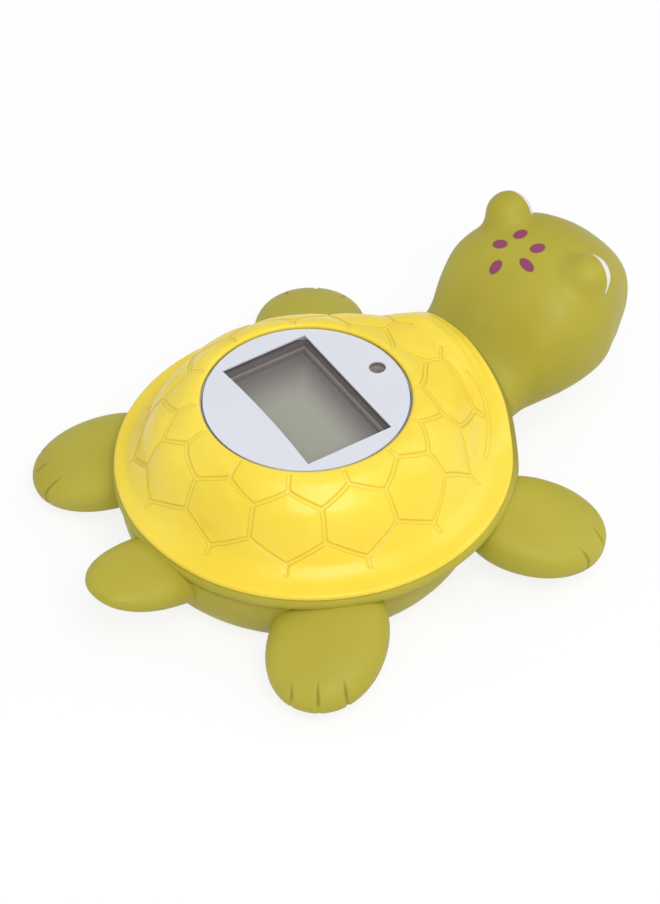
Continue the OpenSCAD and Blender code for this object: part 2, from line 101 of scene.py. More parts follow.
def rim_shift(angle):
    """How far the rim leaves its circle: drawn back over the neck, a little fuller beside it."""
    drawn_back = visor_back * (1 - ease(*visor_back_sides, off_neck(angle)))
    return neck_fullness * beside_neck(angle) - drawn_back


def bead_shift(angle):
    """How far the bead leaves its circle: with the rim, and further out beside the neck."""
    return rim_shift(angle) + bead_out * beside_neck(angle)


def direction(x, y):
    """Direction of a place round the axis, from -90 at the tail up to 270."""
    angle = math.degrees(math.atan2(y, x))
    return angle + 360 if angle < -90 else angle


def tone(red, green, blue):
    """A colour given as it looks on a screen, from 0 to 255, as Blender's linear values."""
    def linear(value):
        share = value / 255
        return share / 12.92 if share <= 0.04045 else ((share + 0.055) / 1.055) ** 2.4
    return (linear(red), linear(green), linear(blue), 1.0)


def wrapped(around, along, form):
    """A sheet laid over a form, which gives the point at an angle and at a row; its seams are welded."""
    bm = bmesh.new()
    bmesh.ops.create_grid(bm, x_segments=around, y_segments=along, size=0.5,
                          matrix=Matrix.Translation((0.5, 0.5, 0)))
    for vert in bm.verts:
        vert.co = form(2 * math.pi * vert.co.x, round(vert.co.y * along))
    bmesh.ops.remove_doubles(bm, verts=bm.verts[:], dist=0.0005)
    bmesh.ops.recalc_face_normals(bm, faces=bm.faces[:])
    bm.normal_update()
    return bm


def turned(outline, steps):
    """A closed outline of (radius, height) points, turned once round the upright axis."""
    def form(angle, row):
        radius, height = outline[row % len(outline)]
        return Vector((radius * math.cos(angle), radius * math.sin(angle), height))
    return wrapped(steps, len(outline), form)


def finish_piece(bm, name, body, node, material, marks=None):
    """Moves a mesh from millimetres into the frame, gives it its material and hangs it on its body."""
    to_frame = Matrix.Translation((-axis_side / 1000, -axis_back / 1000, 0)) @ Matrix.Scale(0.001, 4)
    bmesh.ops.transform(bm, verts=bm.verts[:], matrix=to_frame)
    mesh = bpy.data.meshes.new(name)
    bm.to_mesh(mesh)
    bm.free()
    mesh.shade_smooth()
    mesh.materials.append(material)
    for mark, values in (marks or {}).items():
        mesh.attributes.new(mark, "FLOAT", "POINT").data.foreach_set("value", values)
    piece = bpy.data.objects.new(name, mesh)
    bpy.context.scene.collection.objects.link(piece)
    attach(piece, body)
    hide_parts(node)


class Sock:
    """A shader socket. Arithmetic on it adds Math nodes, and node() adds any other."""

    def __init__(self, tree, socket=None):
        self.tree = tree
        self.socket = socket

    def node(self, kind, settings, sockets, out=0):
        made = self.tree.nodes.new(kind)
        for key, value in settings.items():
            setattr(made, key, value)
        for key, value in sockets.items():
            if isinstance(value, Sock):
                self.tree.links.new(value.socket, made.inputs[key])
            else:
                made.inputs[key].default_value = value
        return Sock(self.tree, made.outputs[out])

    def beside(self, out):
        """Another output of the node this socket belongs to."""
        return Sock(self.tree, self.socket.node.outputs[out])

    def math(self, operation, *values):
        return self.node("ShaderNodeMath", {"operation": operation}, dict(enumerate(values)))

    def __add__(self, other):
        return self.math("ADD", self, other)

    __radd__ = __add__

    def __sub__(self, other):
        return self.math("SUBTRACT", self, other)

    def __rsub__(self, other):
        return self.math("SUBTRACT", other, self)

    def __mul__(self, other):
        return self.math("MULTIPLY", self, other)

    __rmul__ = __mul__

    def __truediv__(self, other):
        return self.math("DIVIDE", self, other)

    def step(self, low, high):
        """Smooth step from 0 at low to 1 at high."""
        return self.node("ShaderNodeMapRange", {"interpolation_type": "SMOOTHSTEP"},
                         {"Value": self, "From Min": low, "From Max": high})

    def blend(self, first, second):
        """The first colour where this value is 0, the second where it is 1."""
        return self.node("ShaderNodeMix", {"data_type": "RGBA"}, {0: self, 6: first, 7: second}, out=2)

    def to(self, target):
        self.tree.links.new(self.socket, target)


def new_finish(name, constants):
    """A material with its plain shader values set, and what is needed to feed the rest."""
    material = bpy.data.materials.new(name)
    material.use_nodes = True
    shader = material.node_tree.nodes["Principled BSDF"].inputs
    for key, value in constants.items():
        shader[key].default_value = value
    return material, Sock(material.node_tree), shader


def object_place(paint):
    return paint.node("ShaderNodeTexCoord", {}, {}, out="Object")


def attribute(paint, name):
    return paint.node("ShaderNodeAttribute", {"attribute_name": name}, {}, out="Fac")


def noise(paint, place, scale, detail=2.0, rough=0.5):
    return paint.node("ShaderNodeTexNoise", {}, {
        "Vector": place, "Scale": scale, "Detail": detail, "Roughness": rough}, out="Fac")


def bump(paint, height, strength, distance):
    return paint.node("ShaderNodeBump", {}, {"Height": height, "Strength": strength, "Distance": distance})


green_light = tone(190, 181, 68)
green_deep = tone(176, 165, 52)
green_painted_shade = tone(132, 118, 32)
green_dull = 0.46
green_constants = {"Specular IOR Level": 0.3, "Subsurface Weight": 0.06, "Subsurface Scale": 0.002,
                   "Subsurface Radius": (1.0, 0.8, 0.25)}


def vinyl_skin(paint, shader, place, light, deep, dull, shade_paint=None, shade_colour=None):
    """Satin cast vinyl: a drifting tone, a soft mottle, fine grain, and painted shade where a mask is given.
    """
    drift = noise(paint, place, 26.0).step(0.34, 0.68)
    mottle = noise(paint, place, 240.0, 3.0, 0.6)
    colour = (drift * 0.75 + mottle * 0.35 - 0.1).blend(light, deep)
    # Painted shade, darkening the colour where the mask is given.
    if shade_paint is not None:
        colour = shade_paint.blend(colour, shade_colour)
    wear = noise(paint, place, 70.0, 3.0)
    (dull + 0.10 * wear - 0.04 * mottle).to(shader["Roughness"])
    grain = noise(paint, place, 2400.0, 1.5)
    waves = noise(paint, place, 85.0)
    bump(paint, grain * 0.15 + waves, 0.16, 0.0006).to(shader["Normal"])
    return colour


def green_vinyl(name, shade_paint=False):
    material, paint, shader = new_finish(name, green_constants)
    painted_shade = attribute(paint, "painted_shade") if shade_paint else None
    colour = vinyl_skin(paint, shader, object_place(paint), green_light, green_deep, green_dull,
                        painted_shade, green_painted_shade)
    colour.to(shader["Base Color"])
    return material


def bowl_curve(side, bottom, turns):
    """The wall's quarter round between the floor and the upright side, as (radius, height) points."""
    return [(bowl_flat + (side - bowl_flat) * math.sin(math.radians(t)),
             bottom + (crease_height - bottom) * (1 - math.cos(math.radians(t)))) for t in turns]


bowl_outline = (
    [(bowl_hole + bowl_hole_bevel, 0.0), (floor_edge, 0.0)]
    + bowl_curve(bowl_side, 0.0, range(0, 91, 5))
    + [(bowl_side + bowl_lap, bead_middle), (bowl_side - bowl_wall, bead_middle)]
    + bowl_curve(bowl_side - bowl_wall, bowl_wall, range(90, -1, -10))
    + [(bowl_hole, bowl_wall), (bowl_hole, bowl_hole_bevel)]
)
belly = turned(bowl_outline, belly_steps)
for vert in belly.verts:
    reach = math.hypot(vert.co.x, vert.co.y)
    angle = direction(vert.co.x, vert.co.y)
    wall_top = ease(wall_start, bead_middle, vert.co.z)
    off_floor = ease(floor_start, bowl_flat, reach)
    wider = 1 + wall_top * bead_shift(angle) / reach
    vert.co.x *= wider
    vert.co.y = vert.co.y * wider - bowl_aft * off_floor * (1 - wall_top) + rim_fore * wall_top
    vert.co.z += visor_lift * visor(rim_radius, angle) * wall_top
bead_outline = [(bead_ring + bead_radius * math.cos(math.radians(t)),
                 bead_middle + bead_radius * math.sin(math.radians(t))) for t in range(0, 360, 12)]
bead = turned(bead_outline, belly_steps)
for vert in bead.verts:
    angle = direction(vert.co.x, vert.co.y)
    wider = 1 + bead_shift(angle) / math.hypot(vert.co.x, vert.co.y)
    vert.co = (vert.co.x * wider, vert.co.y * wider + rim_fore,
               vert.co.z + visor_lift * visor(rim_radius, angle))
bead_mesh = bpy.data.meshes.new("bead")
bead.to_mesh(bead_mesh)
bead.free()
belly.from_mesh(bead_mesh)
bpy.data.meshes.remove(bead_mesh)
# Painted shade on the bead and the top of the wall beside the neck, standing in for the shadow under the
# visor and head.
shaded = []
for vert in belly.verts:
    aside = off_neck(direction(vert.co.x, vert.co.y - rim_fore))
    shaded.append(neck_shadow * (1 - ease(*neck_shadow_sides, aside)) * ease(*neck_shadow_heights, vert.co.z))
belly_finish = green_vinyl("belly_vinyl", shade_paint=True)
finish_piece(belly, "belly_bowl", "turtle", "belly_tub", belly_finish, {"painted_shade": shaded})

# Flippers and tail: flat paddles of the same green vinyl, cast hollow and bonded to the belly's wall.
# Each flipper has three short slits at its tip that part the toes, shallow at first and open at the edge;
# their bottoms carry painted shade.
# A row gives a flipper's name, direction, turn, stance (reach, height, droop), half length and slits.
flipper_half_width = 13.0
flipper_half_thick = 6.2
flipper_power = 2.1
flipper_taper = 0.18
flippers = (
    ("front_left_flipper", 140.8, -2.3, (50.6, 10.1, 7.0), 16.1,
     (((8.3, 5.2), (12.0, 6.0)), ((10.6, -0.9), (15.2, -0.9)), ((7.6, -6.6), (11.2, -7.8)))),
    ("front_right_flipper", 34.4, -1.4, (50.6, 10.1, 7.0), 16.1,
     (((9.2, 8.2), (12.0, 7.8)), ((11.5, 2.2), (15.7, 0.0)), ((11.0, -5.4), (14.3, -6.4)))),
    ("rear_left_flipper", 218.2, 13.8, (47.6, 8.9, 14.0), 17.0,
     (((12.6, -5.2), (15.2, -5.6)), ((11.2, 0.3), (15.4, 0.9)), ((7.4, 5.8), (13.9, 7.7)))),
    ("rear_right_flipper", -36.4, -21.2, (47.6, 8.9, 14.0), 17.0,
     (((12.6, -4.1), (16.2, -3.2)), ((10.8, 1.3), (16.2, 2.9)), ((9.1, 6.7), (13.2, 8.5)))))
slit_press = 0.3
slit_shade = 0.6
slit_start = (0, 0.7)
slit_end = (0.97, 1.1)
slit_floor = 0.08
slit_half_width = 0.3
slit_widening = 0.26
paddle_rows = 80
slit_steps = 480
plain_steps = 160
paddle_edge = 0.8


def paddle_reach(angle, half_length, half_width, power):
    along, across = abs(math.cos(angle)) / half_length, abs(math.sin(angle)) / half_width
    return (along ** power + across ** power) ** (-1 / power)


def fuller(value):
    return math.copysign(abs(value) ** paddle_edge, value)


def slit_depth(x, y, slits):
    """How far a place on a paddle lies in a slit, from 0 beside it to 1 in its bottom, wider to the tip."""
    deepest = 0.0
    for (x0, y0), (x1, y1) in slits:
        share = ((x - x0) * (x1 - x0) + (y - y0) * (y1 - y0)) / ((x1 - x0) ** 2 + (y1 - y0) ** 2)
        away = abs((x - x0) * (y1 - y0) - (y - y0) * (x1 - x0)) / math.hypot(x1 - x0, y1 - y0)
        opening = slit_half_width + slit_widening * min(1.0, max(0.0, share))
        along = ease(*slit_start, share) * (1 - ease(*slit_end, share))
        deepest = max(deepest, along * (1 - ease(slit_floor, opening, away)))
    return deepest


def paddle(half_length, half_width, half_thick, power, taper, slits):
    """A paddle along +X with toe slits pressed into its tip, and the painted shade at each point, by how deep
    in a slit it lies.
    """
    def form(angle, row):
        rise = math.pi * (row / paddle_rows - 0.5)
        reach = paddle_reach(angle, half_length, half_width, power) * fuller(max(0.0, math.cos(rise)))
        x = reach * math.cos(angle)
        thick = half_thick * (1 - taper * x / half_length)
        return Vector((x, reach * math.sin(angle), thick * fuller(math.sin(rise))))

    bm = wrapped(slit_steps if slits else plain_steps, paddle_rows, form)
    slit_shading = []
    for vert in bm.verts:
        press = slit_depth(vert.co.x, vert.co.y, slits)
        vert.co -= vert.normal * slit_press * press
        # The slits' bottoms get painted shade, as strong as they are deep.
        slit_shading.append(slit_shade * press)
    return bm, slit_shading


def place_limb(bm, way, turn, reach, height, droop):
    matrix = (Matrix.Translation((0, rim_fore, 0)) @ Matrix.Rotation(math.radians(way), 4, "Z")
              @ Matrix.Translation((reach, 0, height)) @ Matrix.Rotation(math.radians(turn), 4, "Z")
              @ Matrix.Rotation(math.radians(droop), 4, "Y"))
    bmesh.ops.transform(bm, verts=bm.verts[:], matrix=matrix)


flipper_finish = green_vinyl("flipper_vinyl", shade_paint=True)
for name, way, turn, stance, half_length, slits in flippers:
    flipper, slit_shading = paddle(half_length, flipper_half_width, flipper_half_thick, flipper_power,
                              flipper_taper, slits)
    place_limb(flipper, way, turn, *stance)
    finish_piece(flipper, name + "_skin", "turtle", name, flipper_finish,
                 {"painted_shade": slit_shading})

tail, _ = paddle(half_length=17.5, half_width=10.4, half_thick=5.0, power=2.3, taper=0.3, slits=())
place_limb(tail, way=-90.0, turn=0.0, reach=44.9, height=12.7, droop=-14.6)
finish_piece(tail, "tail_skin", "turtle", "tail", green_vinyl("tail_vinyl"))

# Head: a hollow green vinyl casting whose neck slips under the raised front of the shell.
# The eyes are round bumps that run into the skull behind and stand free in front, with painted whites.
# Five petals are printed on the skull, a little off its middle; a soft groove parts the jaws.

# From neck to snout: distance forward, half width, top and bottom.
head_rows = (
    (34.5, 15.2, 29, 10.2), (39.5, 16.6, 29, 9.8), (45, 17.2, 28.6, 9.3), (48, 16.8, 29.8, 9),
    (51, 17.1, 33, 8.9), (55, 18.8, 38.5, 8.9), (60, 20.5, 42.6, 8.9), (66, 21, 43.8, 9.2),
    (72, 19.9, 44.2, 9.3), (77, 17.2, 43.1, 10.2), (81, 14.6, 40.6, 12.4), (85.2, 11.6, 36.7, 16),
    (87.7, 7.9, 32.9, 19.9), (88.8, 3.9, 29.6, 23.3), (89.1, 0, 26.4, 26.4))
head_widest = 0.55
head_steps = 340
head_rings = 260
neck_rings = 10
neck_power = 1.75
skull_power = 2.5
jaw_power = 2.4
neck_to_skull = (44, 56)
eye_middle = Vector((13.12, 71.18, 41.5))
eyes_aside = -0.28
eye_roll = 0.06
eye_radius = 5.25
ball_edge = (eye_radius + 0.1, eye_radius + 0.22)
eye_reach = 11
eye_gaze = Vector((0.122, 0.985, -0.118))
eye_crease = 0.8
eye_run_out = 2.6
eye_front = (-0.3, 0.5)
white_edge = (0.365, 0.387)
pupil_edge = (0.78, 0.795)
mouth_middle = 17.116
mouth_curve = 0.012
mouth_side = (0.15, 1.3)
mouth_corner = (72.5, 75.5)
mouth_depth = 0.85
# Each petal: place to the right and forward, turn, half length and half width.
petals = ((-6.38, 62.26, 22, 1.8, 1.4), (-5.21, 67.27, 80, 1.75, 1.4), (0.97, 66.91, 66, 1.8, 1.45),
          (2.95, 61.91, 172, 2.4, 1.2), (-2.8, 57.79, 76, 1.5, 1.35))
petal_ink = tone(158, 61, 124)
petal_rim = tone(130, 80, 62)
petal_halo = tone(196, 140, 104)
halo_edge = (0.95, 1.35)
halo_shade = 0.35
print_edge = (0.86, 1.1)
ink_fade = (0.3, 1.0)
eye_white = tone(242, 238, 232)
pupil_dark = tone(44, 40, 38)
skull_top = (36, 37)


def curve_at(rows, t):
    """Smooth curve through rows of numbers, at place t counted in rows."""
    last = len(rows) - 1
    i = min(last - 1, max(0, int(math.floor(t))))
    f = t - i
    b, c = rows[i], rows[i + 1]
    a = rows[i - 1] if i > 0 else [2 * p - q for p, q in zip(b, c)]
    d = rows[i + 2] if i + 2 <= last else [2 * q - p for p, q in zip(b, c)]
    return [q + 0.5 * f * ((r - p) + f * ((2 * p - 5 * q + 4 * r - s) + f * (3 * (q - r) + s - p)))
            for p, q, r, s in zip(a, b, c, d)]


def head_point(t, angle, shrink):
    """Point of the skull's cross section, an oval that is widest above its middle."""
    y, half, top, bottom = curve_at(head_rows, t)
    c, s = math.cos(angle), math.sin(angle)
    roof_power = neck_power + (skull_power - neck_power) * ease(*neck_to_skull, y)
    power = 2 / (roof_power if s > 0 else jaw_power)
    middle = bottom + head_widest * (top - bottom)
    x = half * math.copysign(abs(c) ** power, c)
    z = ((top - middle) if s > 0 else (middle - bottom)) * math.copysign(abs(s) ** power, s)
    return Vector((x * shrink, y, middle + z * shrink))


def head_form(angle, row):
    """Point of the head's sheet, whose first rings close the end of the neck."""
    shrink = 1 - max(0, neck_rings - row) / neck_rings
    last_row = len(head_rows) - 1
    return head_point(last_row * max(0, row - neck_rings) / (head_rings - neck_rings), angle, shrink)


def eye_rise(point, normal):
    """How far the skin is lifted so that skull and eye ball run into each other."""
    side = eyes_aside + math.copysign(eye_middle.x, point.x - eyes_aside)
    ball = Vector((side, eye_middle.y, eye_middle.z - eye_roll * side))
    if (point - ball).length > eye_reach:
        return 0.0

    def inside(t):
        place = point + t * normal - ball
        gap = place.length - eye_radius
        soft = eye_crease + eye_run_out * (1 - ease(*eye_front, place.y / max(0.1, place.length)))
        overlap = max(soft - abs(t - gap), 0) / soft
        return min(t, gap) - overlap * overlap * soft / 4 < 0

    # The lift is looked for from 9 mm down in steps of 0.2 mm, and that step is then halved eight times.
    high = next((t / 10 for t in range(90, -1, -2) if inside(t / 10)), None)
    if high is None:
        return 0.0
    low, high = high, high + 0.2
    for _ in range(8):
        middle = (low + high) / 2
        low, high = (middle, high) if inside(middle) else (low, middle)
    return low


head = wrapped(head_steps, head_rings, head_form)
moves = []
for vert in head.verts:
    p = vert.co
    off_mouth = abs(p.z - mouth_middle - mouth_curve * p.x * p.x)
    groove = (1 - ease(*mouth_side, off_mouth)) * ease(*mouth_corner, p.y)
    moves.append(vert.normal * (eye_rise(p, vert.normal) - mouth_depth * groove))
for vert, move in zip(head.verts, moves):
    vert.co += move

head_finish, paint, shader = new_finish("head_vinyl", green_constants)
place = object_place(paint)
colour = vinyl_skin(paint, shader, place, green_light, green_deep, green_dull)
apart = paint.node("ShaderNodeSeparateXYZ", {}, {0: place})
east = apart.beside("X") * 1000 + axis_side
north = apart.beside("Y") * 1000 + axis_back
height = apart.beside("Z") * 1000
petal = None
for x, y, turn, half_length, half_width in petals:
    dx = east - x
    dy = north - y
    c, s = math.cos(math.radians(turn)), math.sin(math.radians(turn))
    along = (dx * c + dy * s) / half_length
    across = (dy * c - dx * s) / half_width
    oval = paint.math("SQRT", along * along + across * across)
    petal = oval if petal is None else paint.math("MINIMUM", petal, oval)
on_top = height.step(*skull_top)
halo = (1 - petal.step(*halo_edge)) * on_top * halo_shade
colour = halo.blend(colour, petal_halo)
printed = (1 - petal.step(*print_edge)) * on_top
ink = petal.step(*ink_fade).blend(petal_ink, petal_rim)
colour = printed.blend(colour, ink)
ex = paint.math("ABSOLUTE", east - eyes_aside) - eye_middle.x
ey = north - eye_middle.y
ez = height + east * eye_roll - eye_middle.z
far = paint.math("SQRT", ex * ex + ey * ey + ez * ez)
gaze = (ex * eye_gaze.x + ey * eye_gaze.y + ez * eye_gaze.z) / far
on_ball = 1 - far.step(*ball_edge)
colour = (gaze.step(*white_edge) * on_ball).blend(colour, eye_white)
colour = (gaze.step(*pupil_edge) * on_ball).blend(colour, pupil_dark)
colour.to(shader["Base Color"])
finish_piece(head, "head_skin", "turtle", "head", head_finish)

# Shell: one yellow vinyl casting with the scutes of a tortoise engraved in its dome.
# Thirteen scutes ring the round opening; each is bounded by shallow channels, with painted shade along their
# lips, and slightly pillowed.
# A smooth band runs round the rim and lifts over the neck like a visor; the left rear is fuller.
face_height = 38.0
face_radius = 23.0
shell_steps = 624
dome_steps = 140
dome_samples = 400
dome_edge = 41
dome_fall = 20
cell_angle = 360 / 13
no_line = 9.0
channel_depth = 0.33
channel_side = (0.26, 0.6)
channel_lip = 0.46
lip_side = (0.04, 0.22)
lip_shade = 0.42
pillow_rise = 0.28
pillow_side = (0.4, 4.0)
opening_edge = (23.7, 24.5)
scute_start = (24.3, 27)
scute_end = (35, 37.5)
shallow_rim = (37.0, 40.0)
shallow_share = 0.6
corner_fade = (3, 9)
corner_radii = (33.5, 35.5)
band_start = (13, 20)
band_end = (44, 54)
skin_slack = 0.1
lean_start = (28, 36)
lean_end = (37.5, 40.5)
lean_out = 0.8
lean_down = 0.4
rim_flare = (34, rim_radius)
left_fullness = 2.0
left_start = (190, 238)
left_end = (246, 280)
left_flank = (25, 35)
left_foot = (36.4, rim_radius - 0.5)
lift_depth = 0.5
lift_fall = 16.6
level_start = 0.85
level_end = 1.15
level_pull = 0.6
lip_rise = 0.08
lip_start = (33, 39)
lip_end = (40.6, rim_radius)
soft_start = 0.05
shell_light = tone(255, 229, 82)
shell_deep = tone(247, 216, 60)
shell_lip_shade = tone(196, 158, 36)
shell_dull = 0.3
# Radius and depth below the face, from the opening's edge out and down to the rim.
outer_rows = (
    (face_radius + 0.35, -0.25), (face_radius + 1, -0.5), (face_radius + 2.4, -0.15), (28, 1.3),
    (31.7, 4.6), (34, 8.8), (36.4, 14.3), (38.3, 16.6), (40.6, 18),
    (rim_radius - 0.5, 18.7), (rim_radius, 19.4), (rim_radius - 0.1, 19.97))
# And back inside, up to the collar that holds the seat ring.
inner_rows = (
    (39, 19.97), (36.6, 18), (34.6, 15), (32.6, 10.4), (30, 6.2), (27.6, 3.6), (26.2, 2.8), (26.2, 13),
    (24.66, 13), (24.66, 1.15), (face_radius + 0.35, 1.15))
# Where the engraving drifts round the axis: by how much, and where it sets in and fades out again.
scute_drifts = ((8, (130, 190), (222, 262)), (-1.8, (240, 254), (258, 269)), (-4, (25, 45), (58, 74)))
dome = [curve_at(outer_rows, i * (len(outer_rows) - 1) / dome_samples) for i in range(dome_samples + 1)]
dome_radii = [radius for radius, depth in dome]
dome_depths = [depth for radius, depth in dome]
dome_lengths = [0.0]
for first, second in zip(dome, dome[1:]):
    dome_lengths.append(dome_lengths[-1] + math.dist(first, second))


def between(keys, values, key):
    """Value at a key, on straight lines between the listed ones."""
    i = min(len(keys) - 2, max(0, bisect.bisect_right(keys, key) - 1))
    share = (key - keys[i]) / max(1e-6, keys[i + 1] - keys[i])
    return values[i] + (values[i + 1] - values[i]) * min(1, max(0, share))


def scute_lines(angle):
    """Channels of one scute, folded about its middle line: pairs of (share of half a scute, radius)."""
    rear = -math.sin(math.radians(angle))
    inner_side, inner_middle = 30.4 + 1.2 * rear, 26.8 + 1.7 * rear
    outer_side = 34.5 + (0.7 if rear > 0 else 2.0) * rear
    outer_middle = 36.7 + 0.8 * max(0.0, rear)
    return (((0, inner_side), (0, outer_side)), ((0, inner_side), (1, inner_middle)),
            ((1, inner_middle), (1, 23.6)), ((0, outer_side), (1, outer_middle)),
            ((1, outer_middle), (1, outer_middle + 1.6)))


def line_distance(radius, angle):
    """Distance in millimetres from the nearest channel of the scutes."""
    drift = sum(most * ease(*start, angle) * (1 - ease(*end, angle)) for most, start, end in scute_drifts)
    turn = (angle - drift + 90) % cell_angle
    share = min(turn, cell_angle - turn) / (cell_angle / 2)
    half_arc = math.radians(cell_angle / 2) * radius
    px, py = share * half_arc, between(dome_radii, dome_lengths, radius)
    best = no_line
    for (s0, r0), (s1, r1) in scute_lines(angle):
        ax, ay = s0 * half_arc, between(dome_radii, dome_lengths, r0)
        bx, by = s1 * half_arc, between(dome_radii, dome_lengths, r1)
        length = (bx - ax) ** 2 + (by - ay) ** 2
        t = min(1, max(0, ((px - ax) * (bx - ax) + (py - ay) * (by - ay)) / length))
        best = min(best, math.hypot(px - ax - t * (bx - ax), py - ay - t * (by - ay)))
    # Over the neck the outer corners fade out, and beside it one line runs along the visor's band.
    aside = off_neck(angle)
    best += no_line * (1 - ease(*corner_fade, aside)) * ease(*corner_radii, radius)
    band_radius = 36 + 3.3 * ease(13, 28, aside) - 1.3 * ease(32, 52, aside)
    off_band = abs(py - between(dome_radii, dome_lengths, band_radius))
    return min(best, off_band + no_line * (1 - ease(*band_start, aside)) + no_line * ease(*band_end, aside))


def engraving(radius, away):
    """How deep a place of the dome is sunk: into a channel, or less than nothing on a scute's pillow."""
    shallower = 1 - shallow_share * ease(*shallow_rim, radius)
    channel = channel_depth * (1 - ease(*channel_side, away)) * shallower * ease(*opening_edge, radius)
    on_scute = (1 - ease(*scute_end, radius)) * ease(*scute_start, radius)
    return channel - pillow_rise * ease(*pillow_side, away) * on_scute


def left_rear(radius, angle):
    """How far the dome swells out at its left rear."""
    behind = angle + 360 if angle < 0 else angle
    fullness = left_fullness * ease(*left_start, behind) * (1 - ease(*left_end, behind))
    return fullness * ease(*left_flank, radius) * (1 - ease(*left_foot, radius))


def visor_share(radius):
    """How much of the visor's lift a place takes by its depth, levelling off to a lip above the rim."""
    fall = max(0, between(dome_radii, dome_depths, radius) - lift_depth) / lift_fall
    fall -= max(0, min(fall, level_end) - level_start) ** 2 / level_pull + max(0, fall - level_end)
    lip = lip_rise * ease(*lip_start, radius) * (1 - ease(*lip_end, radius))
    return (1 + soft_start) * fall * fall / (fall + soft_start) + lip


places = [dome_lengths[-1] * i / dome_steps for i in range(dome_steps + 1)]
shell_outline = [(between(dome_lengths, dome_radii, place), -between(dome_lengths, dome_depths, place))
                 for place in places]
shell_outline += [(radius, -depth) for radius, depth in inner_rows]
shell = turned(shell_outline, shell_steps)
near_line = []
for vert in shell.verts:
    radius = math.hypot(vert.co.x, vert.co.y)
    angle = direction(vert.co.x, vert.co.y)
    depth = -vert.co.z
    outside = radius < dome_edge and depth < between(dome_radii, dome_depths, radius) + skin_slack
    away = line_distance(radius, angle) if outside else no_line
    sink = engraving(radius, away) if outside else 0.0
    # On the steep flank the engraving is cut sideways as well as down.
    lean = ease(*lean_start, radius) * (1 - ease(*lean_end, radius))
    reach = radius - lean_out * sink * lean + rim_shift(angle) * ease(*rim_flare, radius)
    reach += left_rear(radius, angle)
    z = face_height - depth * (face_height - seam_height) / dome_fall - sink * (1 - lean_down * lean)
    z += visor_lift * visor_share(radius) * visor(radius, angle)
    a = math.radians(angle)
    vert.co = (reach * math.cos(a), reach * math.sin(a) + rim_fore * ease(face_radius, rim_radius, radius), z)
    near_line.append(away + no_line * (1 - ease(*opening_edge, radius)))
shell_finish, paint, shader = new_finish("shell_vinyl", {
    "Specular IOR Level": 0.38, "Subsurface Weight": 0.06, "Subsurface Scale": 0.002,
    "Subsurface Radius": (1.0, 0.75, 0.15)})
away = attribute(paint, "line_distance")
# A thin line of painted shade runs along each channel's lip.
lip_shade_line = (1 - paint.math("ABSOLUTE", away - channel_lip).step(*lip_side)) * lip_shade
colour = vinyl_skin(paint, shader, object_place(paint), shell_light, shell_deep, shell_dull,
                    lip_shade_line, shell_lip_shade)
colour.to(shader["Base Color"])
finish_piece(shell, "shell_skin", "turtle", "carapace", shell_finish,
             {"line_distance": near_line})

# Round face: a printed white film on a clear disc, with windows for the display and for a small light.
# The film is smooth with a faint cool tint; the disc under it is polished clear plastic.


def dress(node, material):
    """Gives a piece that keeps its own solid its finish."""
    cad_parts[node].data.materials.clear()
    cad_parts[node].data.materials.append(material)


film, paint, shader = new_finish("face_film", {"Specular IOR Level": 0.4, "Coat Weight": 0.15})
place = object_place(paint)
noise(paint, place, 60.0).blend(tone(226, 229, 238), tone(219, 222, 232)).to(shader["Base Color"])
(0.34 + 0.1 * noise(paint, place, 300.0)).to(shader["Roughness"])
bump(paint, noise(paint, place, 1800.0), 0.05, 0.0002).to(shader["Normal"])
dress("face_label", film)

clear, paint, shader = new_finish("clear_disc", {
    "Base Color": tone(236, 240, 242), "IOR": 1.49, "Alpha": 0.03})
(0.04 + 0.05 * noise(paint, object_place(paint), 90.0)).to(shader["Roughness"])
dress("face_lens", clear)

# Display: the dark frame makes the stepped walls of the recess, and the blank grey glass lies in its floor.
# The frame's ledge carries a painted highlight, the wall below it is painted a little lighter, and a pale
# ring surrounds its hole for the light.
# The glass carries painted shade toward the walls at the front and at the left, where it would mirror them.
face_turn = math.radians(-7.7)
ledge_height = 34.7
ledge_half_length = 16.7
ledge_half_width = 9.75
light_fore = 18.5
light_ring = (4.1, 4.4)
frame_light = tone(116, 106, 104)
frame_deep = tone(98, 89, 88)
lower_wall_painted_light = tone(114, 107, 105)
ledge_painted_highlight = tone(146, 134, 132)
ring_pale = tone(182, 172, 168)
glass_light = tone(164, 163, 149)
glass_deep = tone(156, 155, 142)
glass_shade = tone(108, 101, 98)
front_shade = (1.0, 10.0)
left_shade = (4.0, 16.0)


def on_face(paint, place):
    """Place on the thermometer module in millimetres: along the display, across it and upward."""
    apart = paint.node("ShaderNodeSeparateXYZ", {}, {0: place})
    east = apart.beside("X") * 1000 + axis_side
    north = apart.beside("Y") * 1000 + axis_back
    c, s = math.cos(face_turn), math.sin(face_turn)
    return east * c + north * s, north * c - east * s, apart.beside("Z") * 1000


dark, paint, shader = new_finish("frame_plastic", {"Specular IOR Level": 0.4})
place = object_place(paint)
long_way, short_way, height = on_face(paint, place)
colour = noise(paint, place, 180.0, 3.0).blend(frame_light, frame_deep)
